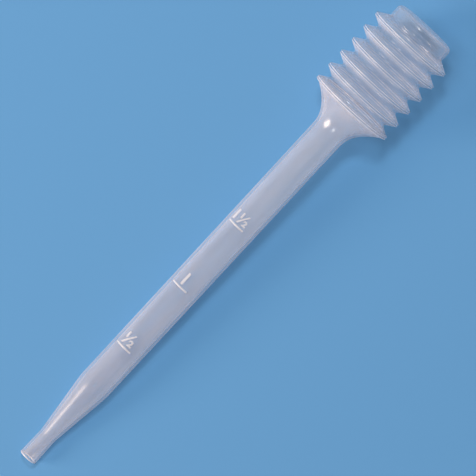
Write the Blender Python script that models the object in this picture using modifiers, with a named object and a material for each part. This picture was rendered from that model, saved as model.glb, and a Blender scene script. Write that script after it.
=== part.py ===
"""Bellows transfer pipette, moulded in one piece from low-density polyethylene.

Metres, +Z up. The pipette lies along X with its tip at -X, and the folds of its bellows stand on the ground plane.
Stations are distances along the axis from the mouth of the tip. A profile is a list of (radius, station) points that
runs down its outer side, from the bulb towards the tip, and back up its inner side.
"""

import math

import bmesh
import bpy
from mathutils import Matrix

# Tip: a straight tube, slightly flared at its mouth.
TIP_LENGTH = 0.0063
TIP_MOUTH_RADIUS = 0.0020
TIP_ROOT_RADIUS = 0.00187
TIP_WALL = 0.0005

# Taper and barrel. The barrel widens a little towards the bulb, as the mould's draft leaves it.
TAPER_LENGTH = 0.0143
BARREL_LENGTH = 0.0717
BARREL_LOWER_RADIUS = 0.0036
BARREL_UPPER_RADIUS = 0.00368
BARREL_WALL = 0.0006

# Raised volume lines on the barrel.
LINE_COUNT = 3
FIRST_LINE_STATION = 0.0315
LINE_SPACING = 0.01735
LINE_WIDTH = 0.00035
LINE_HEIGHT = 0.00012
LINE_ARC = math.radians(65)
LINE_TURN = math.radians(17)  # from straight up towards +Y
LINE_ROOT = 0.0003  # how deep a line's root sits in the barrel's wall
LINE_STEPS = 6

# Shoulder and bellows.
SHOULDER_LENGTH = 0.0079
SHOULDER_CURVE = 2.25  # exponent of the flare: 1 is a straight cone
SHOULDER_POINTS = 8
CREST_COUNT = 6
CREST_RADIUS = 0.0096
VALLEY_RADIUS = 0.0070
FOLD_SPACING = 0.00178  # along the axis, from a crest to the next valley
FOLD_FLAT = 0.00015  # half width of the blunt edge at the outside of a crest and the inside of a valley
BELLOWS_WALL = 0.0005
CREST_DEPTH = 0.0010  # how far a crest hoop reaches in from its edge

# Closed end that the thumb presses.
CAP_LENGTH = 0.0031
CAP_RADIUS = 0.0071
CAP_WALL = 0.0005
CAP_CORNER_RADIUS = 0.0011
CAP_CORNER_STEPS = 4
CAP_NECK = 0.0005  # from the last valley to where the cap's side runs straight

ZONE_GAP = 0.00002  # between neighbouring zones of the moulding
SIDES = 24  # flat sides of every turned piece

# Stations that follow from the lengths above.
TAPER_STATION = TIP_LENGTH
BARREL_STATION = TAPER_STATION + TAPER_LENGTH
SHOULDER_STATION = BARREL_STATION + BARREL_LENGTH
FIRST_CREST_STATION = SHOULDER_STATION + SHOULDER_LENGTH
FOLD_WALL_COUNT = 2 * CREST_COUNT - 1
LAST_VALLEY_STATION = FIRST_CREST_STATION + FOLD_WALL_COUNT * FOLD_SPACING
OVERALL_LENGTH = LAST_VALLEY_STATION + CAP_LENGTH

# The fold walls' slope, and their thickness measured along the axis.
FOLD_RUN = FOLD_SPACING / (CREST_RADIUS - VALLEY_RADIUS)
FOLD_WALL_WIDTH = BELLOWS_WALL * math.hypot(1, FOLD_RUN)
CREST_INNER_RADIUS = CREST_RADIUS - CREST_DEPTH
VALLEY_INNER_RADIUS = VALLEY_RADIUS - (FOLD_WALL_WIDTH - FOLD_FLAT) / FOLD_RUN
CREST_HALF_WIDTH = FOLD_FLAT + CREST_DEPTH * FOLD_RUN

CLEAR = (0.86, 0.90, 0.94)
MILKY = (0.90, 0.93, 0.96)


def collection(name):
    made = bpy.data.collections.new(name)
    bpy.context.scene.collection.children.link(made)
    return made


def polyethylene(name, colour, roughness):
    """Translucent moulded plastic."""
    material = bpy.data.materials.new(name)
    material.use_nodes = True
    shader = material.node_tree.nodes["Principled BSDF"]
    shader.inputs["Base Color"].default_value = (*colour, 1)
    shader.inputs["Roughness"].default_value = roughness
    shader.inputs["Metallic"].default_value = 0
    shader.inputs["Transmission Weight"].default_value = 0.4
    shader.inputs["IOR"].default_value = 1.51
    return material


def turned(name, profile, station, colour, closed=True):
    """A piece turned about the pipette's axis, with its own origin on the axis at the given station."""
    mesh = bpy.data.meshes.new(name)
    points = [(radius, 0, along - station) for radius, along in profile]
    edges = [(k, k + 1) for k in range(len(points) - 1)]
    if closed:
        edges.append((len(points) - 1, 0))
    mesh.from_pydata(points, edges, [])
    piece = bpy.data.objects.new(name, mesh)
    pipette.objects.link(piece)
    piece.parent = axis_line
    piece.location = (0, 0, station)
    screw = piece.modifiers.new("Turn", "SCREW")
    screw.axis = "Z"
    screw.steps = SIDES
    screw.render_steps = SIDES
    screw.use_merge_vertices = True
    screw.merge_threshold = 0.00001
    mesh.materials.append(polyethylene(f"{name}_plastic", colour, 0.32))
    return piece


def tube_profile(lower, upper, lower_radius, upper_radius, lower_wall, upper_wall):
    """A straight or tapered tube between two stations, less half the gap to each neighbour."""
    top = upper - ZONE_GAP / 2
    bottom = lower + ZONE_GAP / 2
    return [
        (upper_radius, top),
        (lower_radius, bottom),
        (lower_radius - lower_wall, bottom),
        (upper_radius - upper_wall, top),
    ]


def make_tip():
    radii = (TIP_MOUTH_RADIUS, TIP_ROOT_RADIUS)
    profile = tube_profile(-ZONE_GAP / 2, TAPER_STATION, *radii, TIP_WALL, TIP_WALL)
    turned("tip", profile, 0, CLEAR)


def make_taper():
    radii = (TIP_ROOT_RADIUS, BARREL_LOWER_RADIUS)
    profile = tube_profile(TAPER_STATION, BARREL_STATION, *radii, TIP_WALL, BARREL_WALL)
    turned("taper", profile, TAPER_STATION, CLEAR)


def volume_line(number, station):
    """A raised line's solid, from inside the barrel's wall out to the line's top."""
    share = (station - BARREL_STATION) / BARREL_LENGTH
    surface = BARREL_LOWER_RADIUS + share * (BARREL_UPPER_RADIUS - BARREL_LOWER_RADIUS)
    section = bmesh.new()
    bmesh.ops.create_grid(section, x_segments=1, y_segments=1, size=0.5)
    height = LINE_ROOT + LINE_HEIGHT
    bmesh.ops.scale(section, vec=(height, LINE_WIDTH, 1), verts=section.verts)
    bmesh.ops.rotate(section, matrix=Matrix.Rotation(math.pi / 2, 3, "X"), verts=section.verts)
    middle = surface - LINE_ROOT + height / 2
    bmesh.ops.translate(section, vec=(middle, 0, station), verts=section.verts)
    # Local -X points up once the axis lies along X, and the first facet sits half a side round.
    start = math.pi - LINE_TURN - LINE_ARC / 2 - math.pi / SIDES
    bmesh.ops.rotate(section, matrix=Matrix.Rotation(start, 3, "Z"), verts=section.verts)
    swept = section.faces[:] + section.edges[:] + section.verts[:]
    bmesh.ops.spin(section, geom=swept, axis=(0, 0, 1), angle=LINE_ARC, steps=LINE_STEPS)
    bmesh.ops.recalc_face_normals(section, faces=section.faces)
    mesh = bpy.data.meshes.new(f"volume_line_{number}")
    section.to_mesh(mesh)
    section.free()
    line = bpy.data.objects.new(mesh.name, mesh)
    joined_shapes.objects.link(line)
    line.parent = axis_line
    line.hide_render = True
    line.display_type = "WIRE"
    return line


def make_barrel():
    radii = (BARREL_LOWER_RADIUS, BARREL_UPPER_RADIUS)
    walls = (BARREL_WALL, BARREL_WALL)
    profile = tube_profile(BARREL_STATION, SHOULDER_STATION, *radii, *walls)
    barrel = turned("barrel", profile, BARREL_STATION, CLEAR)
    for number in range(LINE_COUNT):
        line = volume_line(number + 1, FIRST_LINE_STATION + number * LINE_SPACING)
        union = barrel.modifiers.new(line.name, "BOOLEAN")
        union.operation = "UNION"
        union.object = line


def make_shoulder():
    """The flare ends inside the first crest hoop, on the same line as a fold wall."""
    length = SHOULDER_LENGTH - CREST_HALF_WIDTH
    rise = CREST_INNER_RADIUS - ZONE_GAP - BARREL_UPPER_RADIUS
    outer = []
    inner = []
    for k in range(SHOULDER_POINTS + 1):
        share = k / SHOULDER_POINTS
        wall = BARREL_WALL + share * (BELLOWS_WALL - BARREL_WALL)
        slope = rise / length * SHOULDER_CURVE * share ** (SHOULDER_CURVE - 1)
        tilt = math.atan(slope)
        station = SHOULDER_STATION + share * length
        radius = BARREL_UPPER_RADIUS + rise * share**SHOULDER_CURVE
        outer.append((radius, station))
        inner.append((radius - wall * math.cos(tilt), station + wall * math.sin(tilt)))
    outer[0] = (outer[0][0], SHOULDER_STATION + ZONE_GAP / 2)
    inner[0] = (inner[0][0], SHOULDER_STATION + ZONE_GAP / 2)
    turned("shoulder", outer[::-1] + inner, SHOULDER_STATION, CLEAR)


def make_crest(number, station):
    profile = [
        (CREST_INNER_RADIUS, station + CREST_HALF_WIDTH),
        (CREST_RADIUS, station + FOLD_FLAT),
        (CREST_RADIUS, station - FOLD_FLAT),
        (CREST_INNER_RADIUS, station - CREST_HALF_WIDTH),
    ]
    turned(f"crest_hoop_{number}", profile, station, MILKY)


def make_valley(number, station):
    profile = [
        (VALLEY_RADIUS, station + FOLD_WALL_WIDTH),
        (VALLEY_RADIUS, station - FOLD_WALL_WIDTH),
        (VALLEY_INNER_RADIUS, station - FOLD_FLAT),
        (VALLEY_INNER_RADIUS, station + FOLD_FLAT),
    ]
    turned(f"valley_hoop_{number}", profile, station, MILKY)


def make_fold_wall(number, crest_station, towards_bulb):
    """A thin cone between a crest hoop and a valley hoop. It leans towards the bulb or towards the tip."""
    side = 1 if towards_bulb else -1
    crest_end = CREST_INNER_RADIUS - ZONE_GAP
    valley_end = VALLEY_RADIUS + ZONE_GAP
    crest_reach = FOLD_FLAT + (CREST_RADIUS - crest_end) * FOLD_RUN
    valley_reach = FOLD_SPACING
    profile = [
        (crest_end, crest_station + side * crest_reach),
        (crest_end, crest_station + side * (crest_reach - FOLD_WALL_WIDTH)),
        (valley_end, crest_station + side * (valley_reach - FOLD_WALL_WIDTH)),
        (valley_end, crest_station + side * valley_reach),
    ]
    if not towards_bulb:
        profile.reverse()
    turned(f"fold_wall_{number:02}", profile, crest_station, MILKY)


def make_cap():
    """The closed end, with the last valley's lip at its rim."""
    lip = LAST_VALLEY_STATION
    corner = OVERALL_LENGTH - CAP_CORNER_RADIUS
    flat_radius = CAP_RADIUS - CAP_CORNER_RADIUS
    angles = [math.pi / 2 * k / CAP_CORNER_STEPS for k in range(CAP_CORNER_STEPS + 1)]
    outer = [(0, OVERALL_LENGTH)]
    for angle in reversed(angles):
        across = CAP_CORNER_RADIUS * math.cos(angle)
        along = CAP_CORNER_RADIUS * math.sin(angle)
        outer.append((flat_radius + across, corner + along))
    outer += [
        (CAP_RADIUS, lip + CAP_NECK),
        (VALLEY_RADIUS, lip),
        (VALLEY_RADIUS, lip - FOLD_WALL_WIDTH),
    ]
    inner = [
        (VALLEY_INNER_RADIUS, lip - FOLD_FLAT),
        (VALLEY_INNER_RADIUS, lip + FOLD_FLAT),
        (CAP_RADIUS - CAP_WALL, lip + CAP_NECK),
    ]
    inner_corner = CAP_CORNER_RADIUS - CAP_WALL
    for angle in angles:
        across = inner_corner * math.cos(angle)
        along = inner_corner * math.sin(angle)
        inner.append((flat_radius + across, corner + along))
    inner.append((0, OVERALL_LENGTH - CAP_WALL))
    turned("end_cap", outer + inner, lip, MILKY, closed=False)


def make_bellows():
    for number in range(CREST_COUNT):
        crest_station = FIRST_CREST_STATION + 2 * number * FOLD_SPACING
        make_crest(number + 1, crest_station)
        if number > 0:
            make_fold_wall(2 * number, crest_station, towards_bulb=False)
        make_fold_wall(2 * number + 1, crest_station, towards_bulb=True)
        if number < CREST_COUNT - 1:
            make_valley(number + 1, crest_station + FOLD_SPACING)


for leftover in list(bpy.data.objects):
    bpy.data.objects.remove(leftover)
pipette = collection("bellows_transfer_pipette")
joined_shapes = collection("joined_shapes")

# The axis lies along X at the height that puts a flat side of every crest on the ground, with the bounding box
# centred on the origin.
axis_line = bpy.data.objects.new("axis_line", None)
pipette.objects.link(axis_line)
axis_line.matrix_world = (
    Matrix.Translation((-OVERALL_LENGTH / 2, 0, CREST_RADIUS * math.cos(math.pi / SIDES)))
    @ Matrix.Rotation(math.pi / 2, 4, "Y")
    @ Matrix.Rotation(math.pi / SIDES, 4, "Z")
)

make_tip()
make_taper()
make_barrel()
make_shoulder()
make_bellows()
make_cap()
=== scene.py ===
"""Bellows transfer pipette of translucent polyethylene, lying on a pale card. Metres, +Z up, along X."""

import math

import bmesh
import bpy
from mathutils import Matrix, Vector


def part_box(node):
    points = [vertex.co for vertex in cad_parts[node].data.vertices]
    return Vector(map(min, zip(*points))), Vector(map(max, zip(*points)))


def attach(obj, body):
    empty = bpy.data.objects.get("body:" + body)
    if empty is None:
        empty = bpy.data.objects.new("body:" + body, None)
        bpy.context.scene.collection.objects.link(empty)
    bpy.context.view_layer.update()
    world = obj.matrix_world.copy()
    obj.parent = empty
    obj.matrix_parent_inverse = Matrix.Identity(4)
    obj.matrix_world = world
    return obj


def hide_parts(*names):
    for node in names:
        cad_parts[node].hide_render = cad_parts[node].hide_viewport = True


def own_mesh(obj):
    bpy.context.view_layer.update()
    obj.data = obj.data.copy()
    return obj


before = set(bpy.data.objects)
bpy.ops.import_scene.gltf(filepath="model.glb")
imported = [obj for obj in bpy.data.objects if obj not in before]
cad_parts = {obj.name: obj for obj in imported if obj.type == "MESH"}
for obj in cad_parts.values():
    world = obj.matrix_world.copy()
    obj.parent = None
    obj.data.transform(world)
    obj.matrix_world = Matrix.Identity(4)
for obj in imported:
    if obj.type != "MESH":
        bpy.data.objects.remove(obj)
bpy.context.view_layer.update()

# --- Stem -----------------------------------------------------------------------------------------
# The lower half of the moulding: dropping tip, taper, graduated barrel, and the shoulder that flares out
# to the first fold. It is blown low-density polyethylene, a tube of nearly even wall, and its mouth is
# trimmed square.
FLAT_SIDES = 24
TURN_STEPS = 128
TIP_WALL = 0.0005
TIP_ROOT_RADIUS = 0.00187
BARREL_WALL = 0.0006
BARREL_TOP_RADIUS = 0.00368
FOLD_WALL = 0.0004
SHOULDER_CURVE = 2.25
SHOULDER_POINTS = 28
CREST_FLAT = 0.00026
CREST_GROOVE = 0.00016
CREST_ROUNDING = 0.00006
CREST_OVERRUN = 0.0006
SEAM_WALL = 0.00003
CREST_MILK = 1.5
INNER_ROUNDING = 0.00022
MOUTH_ROUNDING = 0.00014
TIP_BLEND = 0.006
BARREL_BLEND = 0.014


def round_radius(node):
    """A node's solid has flat sides, so half its box is the true radius by the cosine of half a side."""
    low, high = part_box(node)
    return (high.z - low.z) / 2 / math.cos(math.pi / FLAT_SIDES)


def middle_x(node):
    low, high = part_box(node)
    return (low.x + high.x) / 2


def joint_x(before, after):
    return (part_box(before)[1].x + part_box(after)[0].x) / 2


def rounded(corners, roundings, steps=6):
    """The outline through (x, radius) corners, each turned on an arc of its own radius."""
    outline = [corners[0]]
    for before, corner, after, radius in zip(corners, corners[1:], corners[2:], roundings):
        arriving = (corner - before).normalized()
        leaving = (after - corner).normalized()
        turn = arriving.angle_signed(leaving, 0)
        reach = radius * math.tan(abs(turn) / 2)
        start = corner - arriving * reach
        centre = corner + (leaving - arriving).normalized() * math.hypot(radius, reach)
        for step in range(steps + 1):
            spoke = Matrix.Rotation(-turn * step / steps, 2) @ (start - centre)
            outline.append(centre + spoke)
    outline.append(corners[-1])
    return outline


def turned(name, outline, ring):
    """A piece spun about the pipette's axis from an outline of (x, radius) points, closed for a ring."""
    mesh = bmesh.new()
    verts = [mesh.verts.new((point.x, 0, point.y)) for point in outline]
    edges = [mesh.edges.new(pair) for pair in zip(verts, verts[1:])]
    if ring:
        edges.append(mesh.edges.new((verts[-1], verts[0])))
    bmesh.ops.spin(
        mesh, geom=verts + edges, cent=(0, 0, 0), axis=(1, 0, 0),
        angle=2 * math.pi, steps=TURN_STEPS, use_merge=True,
    )
    bmesh.ops.remove_doubles(mesh, verts=mesh.verts, dist=1e-7)
    bmesh.ops.recalc_face_normals(mesh, faces=mesh.faces)
    bmesh.ops.translate(mesh, vec=(0, 0, axis_height), verts=mesh.verts)
    return finished(name, mesh)


def finished(name, mesh):
    data = bpy.data.meshes.new(name)
    mesh.to_mesh(data)
    mesh.free()
    data.shade_smooth()
    piece = bpy.data.objects.new(name, data)
    bpy.context.scene.collection.objects.link(piece)
    return piece


def cloud_group():
    """The plastic's cloudiness: how milky a wall looks, square on or at a slant, and its drift in tint."""
    group = bpy.data.node_groups.new("polyethylene_cloud", "ShaderNodeTree")
    for socket, kind in (
        ("Thickness", "NodeSocketFloat"), ("Slant", "NodeSocketFloat"),
        ("Tint", "NodeSocketColor"), ("Milk", "NodeSocketColor"),
    ):
        group.interface.new_socket(socket, in_out="INPUT", socket_type=kind)
    group.interface.new_socket("Colour", in_out="OUTPUT", socket_type="NodeSocketColor")
    group.interface.new_socket("Opacity", in_out="OUTPUT", socket_type="NodeSocketFloat")
    nodes, links = group.nodes, group.links
    given = nodes.new("NodeGroupInput")
    result = nodes.new("NodeGroupOutput")
    place = nodes.new("ShaderNodeTexCoord")
    flow = nodes.new("ShaderNodeMapping")
    flow.inputs["Scale"].default_value = (90, 420, 420)
    drift = nodes.new("ShaderNodeTexNoise")
    drift.inputs["Scale"].default_value = 1
    drift.inputs["Detail"].default_value = 4
    links.new(place.outputs["Object"], flow.inputs["Vector"])
    links.new(flow.outputs["Vector"], drift.inputs["Vector"])
    spread = nodes.new("ShaderNodeMapRange")
    spread.inputs["From Min"].default_value = 0.35
    spread.inputs["From Max"].default_value = 0.65
    spread.inputs["To Min"].default_value = 0.82
    spread.inputs["To Max"].default_value = 1.2
    links.new(drift.outputs["Fac"], spread.inputs["Value"])
    mix = nodes.new("ShaderNodeMix")
    mix.data_type = "RGBA"
    links.new(drift.outputs["Fac"], mix.inputs["Factor"])
    links.new(given.outputs["Tint"], mix.inputs[6])
    links.new(given.outputs["Milk"], mix.inputs[7])
    links.new(mix.outputs[2], result.inputs["Colour"])

    def step(operation, first, second=None):
        node = nodes.new("ShaderNodeMath")
        node.operation = operation
        for socket, value in zip(node.inputs, (first, second)):
            if isinstance(value, (int, float)):
                socket.default_value = value
            elif value is not None:
                links.new(value, socket)
        return node.outputs[0]

    # Light crosses more plastic at a slant: the path is the thickness over the cosine of the slant.
    grazing = 0.06
    cosine = step("MAXIMUM", step("SUBTRACT", 1, given.outputs["Slant"]), grazing)
    depth = step("MULTIPLY", step("DIVIDE", given.outputs["Thickness"], cosine), spread.outputs["Result"])
    clear = step("EXPONENT", step("MULTIPLY", depth, -1))
    links.new(step("SUBTRACT", 1, clear), result.inputs["Opacity"])
    return group


def skin_group():
    """The moulded skin: roughness that varies a little, and the height of a fine grain."""
    group = bpy.data.node_groups.new("moulded_skin", "ShaderNodeTree")
    for socket in ("Smoothest", "Roughest"):
        group.interface.new_socket(socket, in_out="INPUT", socket_type="NodeSocketFloat")
    for socket in ("Roughness", "Height"):
        group.interface.new_socket(socket, in_out="OUTPUT", socket_type="NodeSocketFloat")
    nodes, links = group.nodes, group.links
    given = nodes.new("NodeGroupInput")
    result = nodes.new("NodeGroupOutput")
    place = nodes.new("ShaderNodeTexCoord")
    rub = nodes.new("ShaderNodeTexNoise")
    rub.inputs["Scale"].default_value = 700
    rub.inputs["Detail"].default_value = 4
    spread = nodes.new("ShaderNodeMapRange")
    spread.inputs["From Min"].default_value = 0.3
    spread.inputs["From Max"].default_value = 0.7
    grain = nodes.new("ShaderNodeTexNoise")
    grain.inputs["Scale"].default_value = 4500
    grain.inputs["Detail"].default_value = 2
    links.new(place.outputs["Object"], rub.inputs["Vector"])
    links.new(place.outputs["Object"], grain.inputs["Vector"])
    links.new(rub.outputs["Fac"], spread.inputs["Value"])
    links.new(given.outputs["Smoothest"], spread.inputs["To Min"])
    links.new(given.outputs["Roughest"], spread.inputs["To Max"])
    links.new(spread.outputs["Result"], result.inputs["Roughness"])
    links.new(grain.outputs["Fac"], result.inputs["Height"])
    return group


def crest_rim(x):
    """The blunt outer edge of a fold: two fine ridges and a groove, where the blown walls are pinched."""
    return [
        Vector((x - CREST_FLAT, crest_radius)),
        Vector((x, crest_radius - CREST_GROOVE)),
        Vector((x + CREST_FLAT, crest_radius)),
    ]


def wall_group():
    """How milky the wall is by its distance from the axis, with solid ridges and a milkier end."""
    group = bpy.data.node_groups.new("wall_thickness", "ShaderNodeTree")
    for socket in ("Narrow", "Wide", "End Place", "End Reach", "End Milk"):
        group.interface.new_socket(socket, in_out="INPUT", socket_type="NodeSocketFloat")
    group.interface.new_socket("Thickness", in_out="OUTPUT", socket_type="NodeSocketFloat")
    nodes, links = group.nodes, group.links
    given = nodes.new("NodeGroupInput")
    result = nodes.new("NodeGroupOutput")
    place = nodes.new("ShaderNodeTexCoord")
    centred = nodes.new("ShaderNodeMapping")
    centred.inputs["Location"].default_value = (0, 0, -axis_height)
    centred.inputs["Scale"].default_value = (0, 1, 1)
    radius = nodes.new("ShaderNodeVectorMath")
    radius.operation = "LENGTH"
    height = nodes.new("ShaderNodeMapRange")
    height.inputs["From Min"].default_value = valley_radius
    height.inputs["From Max"].default_value = crest_radius
    # The wall thickens up the fold, is clear in the groove, and is solid on the ridges.
    spread = nodes.new("ShaderNodeValToRGB")
    stops = spread.color_ramp.elements
    stops[0].position, stops[0].color = 0.1, (0, 0, 0, 1)
    stops[1].position, stops[1].color = 0.85, (1, 1, 1, 1)
    stops.new(0.5).color = (0.45, 0.45, 0.45, 1)
    stops.new(0.93).color = (0.2, 0.2, 0.2, 1)
    leaf = nodes.new("ShaderNodeMapRange")
    ridge = nodes.new("ShaderNodeMapRange")
    ridge.inputs["From Min"].default_value = crest_radius - CREST_GROOVE / 2.5
    ridge.inputs["From Max"].default_value = crest_radius - CREST_GROOVE / 8
    ridge.inputs["To Max"].default_value = CREST_MILK
    station = nodes.new("ShaderNodeSeparateXYZ")
    from_end = nodes.new("ShaderNodeMath")
    from_end.operation = "SUBTRACT"
    distance = nodes.new("ShaderNodeMath")
    distance.operation = "ABSOLUTE"
    end = nodes.new("ShaderNodeMapRange")
    end.inputs["To Max"].default_value = 0
    leaf_and_ridge = nodes.new("ShaderNodeMath")
    all_three = nodes.new("ShaderNodeMath")
    links.new(place.outputs["Object"], centred.inputs["Vector"])
    links.new(centred.outputs["Vector"], radius.inputs[0])
    links.new(radius.outputs["Value"], height.inputs["Value"])
    links.new(height.outputs["Result"], spread.inputs["Fac"])
    links.new(spread.outputs["Color"], leaf.inputs["Value"])
    links.new(radius.outputs["Value"], ridge.inputs["Value"])
    links.new(given.outputs["Narrow"], leaf.inputs["To Min"])
    links.new(given.outputs["Wide"], leaf.inputs["To Max"])
    links.new(place.outputs["Object"], station.inputs["Vector"])
    links.new(station.outputs["X"], from_end.inputs[0])
    links.new(given.outputs["End Place"], from_end.inputs[1])
    links.new(from_end.outputs["Value"], distance.inputs[0])
    links.new(distance.outputs["Value"], end.inputs["Value"])
    links.new(given.outputs["End Reach"], end.inputs["From Max"])
    links.new(given.outputs["End Milk"], end.inputs["To Min"])
    links.new(leaf.outputs["Result"], leaf_and_ridge.inputs[0])
    links.new(ridge.outputs["Result"], leaf_and_ridge.inputs[1])
    links.new(leaf_and_ridge.outputs["Value"], all_three.inputs[0])
    links.new(end.outputs["Result"], all_three.inputs[1])
    links.new(all_three.outputs["Value"], result.inputs["Thickness"])
    return group


def polyethylene(
    name, tint, milk, narrow, wide, smoothest, roughest, gloss, end_place=0, end_reach=0.001, end_milk=0
):
    """Milky plastic that shows what is behind it. narrow and wide are how milky one skin is, seen square
    on, out to the radius of the inner folds and at the radius of the outer ones. At end_place along the
    axis the wall is milkier by end_milk, which fades out over end_reach."""
    material = bpy.data.materials.new(name)
    material.use_nodes = True
    nodes, links = material.node_tree.nodes, material.node_tree.links
    shader = nodes["Principled BSDF"]
    slant = nodes.new("ShaderNodeLayerWeight")
    slant.inputs["Blend"].default_value = 0.5
    walls = nodes.new("ShaderNodeGroup")
    walls.node_tree = wall_tree
    walls.inputs["Narrow"].default_value = narrow
    walls.inputs["Wide"].default_value = wide
    walls.inputs["End Place"].default_value = end_place
    walls.inputs["End Reach"].default_value = end_reach
    walls.inputs["End Milk"].default_value = end_milk
    cloud = nodes.new("ShaderNodeGroup")
    cloud.node_tree = cloud_tree
    cloud.inputs["Tint"].default_value = (*tint, 1)
    cloud.inputs["Milk"].default_value = (*milk, 1)
    surface = nodes.new("ShaderNodeGroup")
    surface.node_tree = skin_tree
    surface.inputs["Smoothest"].default_value = smoothest
    surface.inputs["Roughest"].default_value = roughest
    bump = nodes.new("ShaderNodeBump")
    bump.inputs["Strength"].default_value = 0.2
    bump.inputs["Distance"].default_value = 0.00002
    shine = nodes.new("ShaderNodeBsdfGlossy")
    shine.inputs["Roughness"].default_value = smoothest
    coated = nodes.new("ShaderNodeMixShader")
    coated.inputs["Fac"].default_value = gloss
    links.new(slant.outputs["Facing"], cloud.inputs["Slant"])
    links.new(walls.outputs["Thickness"], cloud.inputs["Thickness"])
    links.new(cloud.outputs["Colour"], shader.inputs["Base Color"])
    links.new(cloud.outputs["Opacity"], shader.inputs["Alpha"])
    links.new(surface.outputs["Roughness"], shader.inputs["Roughness"])
    links.new(surface.outputs["Height"], bump.inputs["Height"])
    links.new(bump.outputs["Normal"], shader.inputs["Normal"])
    links.new(bump.outputs["Normal"], shine.inputs["Normal"])
    links.new(shader.outputs["BSDF"], coated.inputs[1])
    links.new(shine.outputs["BSDF"], coated.inputs[2])
    links.new(coated.outputs["Shader"], nodes["Material Output"].inputs["Surface"])
    return material


first_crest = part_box("crest_hoop_1")
axis_height = (first_crest[0].z + first_crest[1].z) / 2
first_crest_x = middle_x("crest_hoop_1")
crest_radius = round_radius("crest_hoop_1")
mouth_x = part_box("tip")[0].x
mouth_radius = round_radius("tip")
tip_top_x = joint_x("tip", "taper")
barrel_x = joint_x("taper", "barrel")
barrel_radius = round_radius("taper")
shoulder_x = joint_x("barrel", "shoulder")
valley_radius = round_radius("valley_hoop_1")
fold = middle_x("valley_hoop_1") - first_crest_x
fold_slope = (crest_radius - valley_radius) / (fold - CREST_FLAT)
inset = FOLD_WALL * math.hypot(1, fold_slope)
cloud_tree = cloud_group()
skin_tree = skin_group()
wall_tree = wall_group()


def stem_skin(depth_at_tip, depth_at_barrel):
    """The stem's outline from the mouth to the shoulder, this far inside its outer skin."""
    corners = [
        Vector((mouth_x, mouth_radius - TIP_WALL / 2)),
        Vector((mouth_x, mouth_radius - depth_at_tip)),
        Vector((tip_top_x, TIP_ROOT_RADIUS - depth_at_tip)),
        Vector((barrel_x, barrel_radius - depth_at_barrel)),
        Vector((shoulder_x, BARREL_TOP_RADIUS - depth_at_barrel)),
    ]
    return rounded(corners, [MOUTH_ROUNDING, TIP_BLEND, BARREL_BLEND])


outer = stem_skin(0, 0)
inner = stem_skin(TIP_WALL, BARREL_WALL)
flare = first_crest_x - shoulder_x
rise = crest_radius - BARREL_TOP_RADIUS
for step in range(1, SHOULDER_POINTS + 1):
    share = step / SHOULDER_POINTS
    slope = rise / flare * SHOULDER_CURVE * share ** (SHOULDER_CURVE - 1)
    wall = BARREL_WALL + share * (FOLD_WALL - BARREL_WALL)
    skin_point = Vector((shoulder_x + share * flare, BARREL_TOP_RADIUS + rise * share**SHOULDER_CURVE))
    outer.append(skin_point)
    inner.append(skin_point + wall * Vector((slope, -1)).normalized())
# The flare runs over the first crest, and thins out to a seam a little way down the first fold wall.
seam_x = first_crest_x + CREST_OVERRUN
lead_out = fold_slope * (CREST_OVERRUN - CREST_FLAT)
outer = [point for point in outer if point.x < first_crest_x - 2 * CREST_FLAT]
seam = Vector((seam_x, crest_radius - lead_out))
outer = outer[:-1] + rounded([outer[-1], *crest_rim(first_crest_x), seam], [CREST_ROUNDING] * 3)
inner_peak = crest_radius - inset
inner = [point for point in inner if point.x < first_crest_x - CREST_FLAT and point.y < inner_peak]
inner_corners = [inner[-1], Vector((first_crest_x, inner_peak)), seam - Vector((0, SEAM_WALL))]
inner = inner[:-1] + rounded(inner_corners, [INNER_ROUNDING])

stem = turned("stem_moulding", outer[::-1] + inner[1:], ring=True)
stem.data.materials.append(
    polyethylene(
        "stem_polyethylene", tint=(0.90, 0.86, 0.93), milk=(0.95, 0.90, 0.94), narrow=0.115, wide=0.15,
        smoothest=0.24, roughest=0.36, gloss=0.05, end_place=mouth_x, end_reach=0.0003, end_milk=0.9,
    )
)
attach(stem, "stem")
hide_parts("tip", "taper", "barrel", "shoulder")

# --- Volume marks ---------------------------------------------------------------------------------
# Half, one and one and a half millilitres: a raised line and a raised number for each, part of the
# barrel's outer skin. They are engraved in the mould, so they stand proud of the wall with soft edges.
MARKS = (("½", 0.0315), ("1", 0.04885), ("1½", 0.0662))
MARK_TURN = math.radians(17)
MARK_ARC = math.radians(65)
MARK_WIDTH = 0.00034
MARK_HEIGHT = 0.00014
MARK_ROOT = 0.00012
MARK_BEVEL = 0.7 * MARK_HEIGHT
NUMBER_GAP = 0.00045
NUMBER_TALL = 0.0029
NUMBER_WIDE = 0.0036
NUMBER_TYPE = 0.004
NUMBER_STROKE = 0.00006
SLICE = 0.0003
SHARP_EDGE = math.radians(40)


def barrel_skin(x):
    return barrel_radius + (BARREL_TOP_RADIUS - barrel_radius) * (x - barrel_x) / (shoulder_x - barrel_x)


def wrap(mesh, x):
    """Bends a flat mark round the barrel: its up runs along the axis, its right runs round it."""
    for vert in mesh.verts:
        around, along, out = vert.co
        radius = barrel_skin(x + along) + out
        angle = MARK_TURN - around / barrel_skin(x + along)
        vert.co = (x + along, radius * math.sin(angle), axis_height + radius * math.cos(angle))


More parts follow.
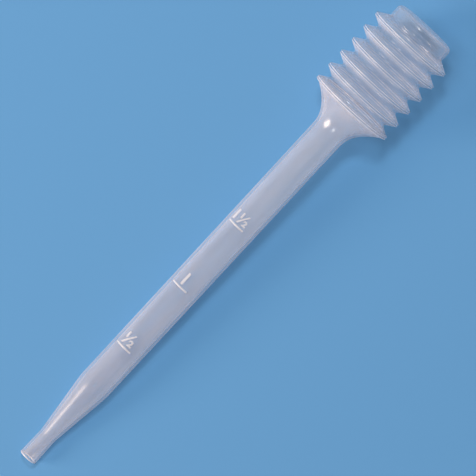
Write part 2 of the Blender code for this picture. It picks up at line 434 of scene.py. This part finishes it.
marks_mesh = bmesh.new()
for label, station in MARKS:
    x = mouth_x + station
    line = bmesh.new()
    bmesh.ops.create_cube(line, size=1)
    length = MARK_ARC * barrel_skin(x)
    bmesh.ops.scale(line, vec=(length, MARK_WIDTH, MARK_HEIGHT + MARK_ROOT), verts=line.verts)
    bmesh.ops.translate(line, vec=(0, 0, (MARK_HEIGHT - MARK_ROOT) / 2), verts=line.verts)
    top = [edge for edge in line.edges if all(vert.co.z > 0 for vert in edge.verts)]
    bmesh.ops.bevel(
        line, geom=top, offset=MARK_BEVEL, affect="EDGES", segments=3, profile=0.5, material=-1
    )

    letters = bpy.data.curves.new(f"number_{label}", "FONT")
    letters.body = label
    letters.size = NUMBER_TYPE
    letters.offset = NUMBER_STROKE
    letters.extrude = (MARK_HEIGHT + MARK_ROOT) / 2
    text = bpy.data.objects.new(f"number_{label}", letters)
    number = bmesh.new()
    number.from_mesh(text.to_mesh())
    text.to_mesh_clear()
    bpy.data.objects.remove(text)
    bpy.data.curves.remove(letters)
    bmesh.ops.remove_doubles(number, verts=number.verts, dist=1e-7)
    lows = [min(vert.co[axis] for vert in number.verts) for axis in (0, 1)]
    highs = [max(vert.co[axis] for vert in number.verts) for axis in (0, 1)]
    fit = min(NUMBER_TALL / (highs[1] - lows[1]), NUMBER_WIDE / (highs[0] - lows[0]))
    middle = Vector(((lows[0] + highs[0]) / 2, lows[1], -(MARK_HEIGHT - MARK_ROOT) / 2))
    bmesh.ops.translate(number, vec=-middle, verts=number.verts)
    bmesh.ops.scale(number, vec=(fit, fit, 1), verts=number.verts)
    bmesh.ops.translate(number, vec=(0, MARK_WIDTH / 2 + NUMBER_GAP, 0), verts=number.verts)

    for flat in (line, number):
        slices = round(length / SLICE)
        for cut in range(1, slices):
            bmesh.ops.bisect_plane(
                flat, geom=flat.verts[:] + flat.edges[:] + flat.faces[:], dist=1e-8,
                plane_co=((cut / slices - 0.5) * length, 0, 0), plane_no=(1, 0, 0),
            )
        wrap(flat, x)
        piece_data = bpy.data.meshes.new("flat")
        flat.to_mesh(piece_data)
        flat.free()
        marks_mesh.from_mesh(piece_data)
        bpy.data.meshes.remove(piece_data)
bmesh.ops.recalc_face_normals(marks_mesh, faces=marks_mesh.faces)
marks = finished("volume_marks", marks_mesh)
marks.data.set_sharp_from_angle(angle=SHARP_EDGE)
marks.data.materials.append(
    polyethylene(
        "mark_polyethylene", tint=(0.93, 0.92, 0.96), milk=(0.97, 0.95, 0.98), narrow=0.55, wide=0.55,
        smoothest=0.22, roughest=0.32, gloss=0.06,
    )
)
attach(marks, "stem")

# --- Bellows --------------------------------------------------------------------------------------
# Six folds of thin wall between the shoulder and the closed end. The fold walls are flat cones that meet
# in a blunt, solid outer edge, where the blown walls are pinched together, and in a softer inner one.
CRESTS = 6
VALLEY_ROUNDING = 0.00045
LEAD_IN_SHARE = 0.35

last_valley_x = middle_x(f"crest_hoop_{CRESTS}") + fold
valleys = [Vector((first_crest_x + k * fold, valley_radius)) for k in range(1, 2 * CRESTS, 2)]
crests = [Vector((first_crest_x + k * fold, crest_radius)) for k in range(2, 2 * CRESTS, 2)]
folds = [seam, valleys[0]]
inner_folds = [folds[0], valleys[0]]
for crest, valley in zip(crests, valleys[1:]):
    folds += [*crest_rim(crest.x), valley]
    inner_folds += [crest, valley]
inner_folds = [point - Vector((0, inset)) for point in inner_folds]
# Both ends thin out to the seams with the stem and the closed end.
inner_folds[0] = folds[0] - Vector((0, SEAM_WALL))
inner_folds[-1] = folds[-1] - Vector((0, SEAM_WALL))
inner_folds.insert(1, inner_folds[0].lerp(inner_folds[1], LEAD_IN_SHARE) - Vector((0, inset / 2)))
bends = [VALLEY_ROUNDING] + ([CREST_ROUNDING] * 3 + [VALLEY_ROUNDING]) * (CRESTS - 1)
inner_bends = [INNER_ROUNDING] * (2 * CRESTS - 1)
bellows = turned(
    "bellows", rounded(folds, bends[:-1])[::-1] + rounded(inner_folds, inner_bends), ring=True
)
bellows.data.materials.append(
    polyethylene(
        "bellows_polyethylene", tint=(0.91, 0.88, 0.95), milk=(0.95, 0.91, 0.96), narrow=0.025, wide=0.15,
        smoothest=0.22, roughest=0.34, gloss=0.05,
    )
)
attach(bellows, "stem")
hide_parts(*[f"crest_hoop_{k}" for k in range(1, CRESTS + 1)])
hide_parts(*[f"valley_hoop_{k}" for k in range(1, CRESTS)])
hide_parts(*[f"fold_wall_{k:02}" for k in range(1, 2 * CRESTS)])
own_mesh(bellows)

# --- Closed end -----------------------------------------------------------------------------------
# The flat end that the thumb presses, with a rounded corner and a short straight side.
CAP_WALL = 0.0005
CAP_CORNER = 0.0011
CAP_NECK = 0.0005
CAP_NECK_ROUNDING = 0.0006
CAP_RADIUS = 0.0071
end_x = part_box("end_cap")[1].x


def cap_skin(neck_radius, depth):
    return rounded(
        [
            Vector((last_valley_x, neck_radius)),
            Vector((last_valley_x + CAP_NECK, CAP_RADIUS - depth)),
            Vector((end_x - depth, CAP_RADIUS - depth)),
            Vector((end_x - depth, 0)),
        ],
        [CAP_NECK_ROUNDING, CAP_CORNER - depth],
        steps=10,
    )


outside = cap_skin(valley_radius, 0)
inside = cap_skin(valley_radius - SEAM_WALL, CAP_WALL)
cap = turned("end_cap_moulding", outside[::-1] + inside, ring=False)
cap.data.materials.append(
    polyethylene(
        "cap_polyethylene", tint=(0.91, 0.88, 0.95), milk=(0.95, 0.91, 0.96), narrow=0.05, wide=0.05,
        smoothest=0.20, roughest=0.32, gloss=0.06, end_place=end_x, end_reach=0.0012, end_milk=0.09,
    )
)
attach(cap, "cap")
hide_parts("end_cap")

# --- Card, lights and camera ----------------------------------------------------------------------
# The pipette lies loose on a sheet of pale blue card. It rests on the mouth of its tip and on its first
# fold, so the card leans against the axis. Four soft lights stand round it inside a light tent.
CARD_REACH = 1.2
tip_rest = Vector((mouth_x, 0, axis_height - mouth_radius))
fold_rest = Vector((first_crest_x, 0, axis_height - crest_radius))
lean = math.atan2(tip_rest.z - fold_rest.z, fold_rest.x - tip_rest.x)
card_mesh = bmesh.new()
bmesh.ops.create_grid(card_mesh, x_segments=2, y_segments=2, size=CARD_REACH)
bmesh.ops.rotate(card_mesh, matrix=Matrix.Rotation(lean, 3, "Y"), verts=card_mesh.verts)
bmesh.ops.translate(card_mesh, vec=fold_rest, verts=card_mesh.verts)
table_top = finished("table_top", card_mesh)
card = bpy.data.materials.new("pale_blue_card")
card.use_nodes = True
card.node_tree.nodes["Principled BSDF"].inputs["Base Color"].default_value = (0.115, 0.32, 0.60, 1)
card.node_tree.nodes["Principled BSDF"].inputs["Roughness"].default_value = 0.9
table_top.data.materials.append(card)

# The view looks nearly straight down, turned so that the pipette runs from lower left to upper right.
VIEW_TILT = math.radians(7.2)
VIEW_ROLL = math.radians(47.2)
VIEW_DISTANCE = 0.9
VIEW_WIDTH = 0.0988
SENSOR = 0.036
VIEW_AIM = Vector((0.0027, -0.0011, axis_height))
back = Vector((math.sin(VIEW_TILT), 0, math.cos(VIEW_TILT)))
along = Vector((math.cos(VIEW_TILT), 0, -math.sin(VIEW_TILT)))
across = Vector((0, 1, 0))
right = math.cos(VIEW_ROLL) * along - math.sin(VIEW_ROLL) * across
up = math.sin(VIEW_ROLL) * along + math.cos(VIEW_ROLL) * across
camera_data = bpy.data.cameras.new("camera")
camera_data.sensor_width = SENSOR * 1000
camera_data.lens = SENSOR * VIEW_DISTANCE / VIEW_WIDTH * 1000
camera_data.clip_end = 10
camera = bpy.data.objects.new("camera", camera_data)
bpy.context.scene.collection.objects.link(camera)
turn = Matrix((right, up, back)).transposed().to_4x4()
camera.matrix_world = Matrix.Translation(VIEW_AIM + back * VIEW_DISTANCE) @ turn
bpy.context.scene.camera = camera


def softbox(name, direction, size, power, colour, shines=True):
    """A square light a metre away that faces the pipette, and shows in its skin if it shines."""
    data = bpy.data.lights.new(name, "AREA")
    data.size = size
    data.energy = power
    data.color = colour
    light = bpy.data.objects.new(name, data)
    bpy.context.scene.collection.objects.link(light)
    towards = Vector(direction).normalized()
    light.location = VIEW_AIM + towards
    light.rotation_euler = towards.to_track_quat("Z", "Y").to_euler()
    light.visible_glossy = shines


WHITE = (1.0, 0.99, 0.97)
softbox("overhead", (0.08, 0.24, 0.95), size=0.35, power=3.7, colour=WHITE, shines=False)
softbox("sparkle", (0.36, 0.24, 0.9), size=0.13, power=2.8, colour=WHITE)
softbox("side", (-0.62, 0.62, 0.48), size=0.4, power=9.2, colour=(1.0, 0.79, 0.64))
softbox("low_fill", (0.8, -0.55, 0.3), size=0.9, power=1.2, colour=(0.9, 0.94, 1.0))

# A light tent: bright round the horizon and dim overhead.
TENT_STRENGTH = 0.205
room = bpy.data.worlds.new("light_tent")
bpy.context.scene.world = room
room.use_nodes = True
nodes, links = room.node_tree.nodes, room.node_tree.links
sight = nodes.new("ShaderNodeTexCoord")
height = nodes.new("ShaderNodeSeparateXYZ")
tent = nodes.new("ShaderNodeValToRGB")
tent.color_ramp.elements[0].color = (1.5, 1.5, 1.6, 1)
tent.color_ramp.elements[1].position = 0.7
tent.color_ramp.elements[1].color = (0.30, 0.33, 0.38, 1)
links.new(sight.outputs["Generated"], height.inputs["Vector"])
links.new(height.outputs["Z"], tent.inputs["Fac"])
links.new(tent.outputs["Color"], nodes["Background"].inputs["Color"])
nodes["Background"].inputs["Strength"].default_value = TENT_STRENGTH

bpy.context.scene.view_settings.view_transform = "Standard"
# A view along the folds looks through dozens of walls.
bpy.context.scene.cycles.transparent_max_bounces = 64
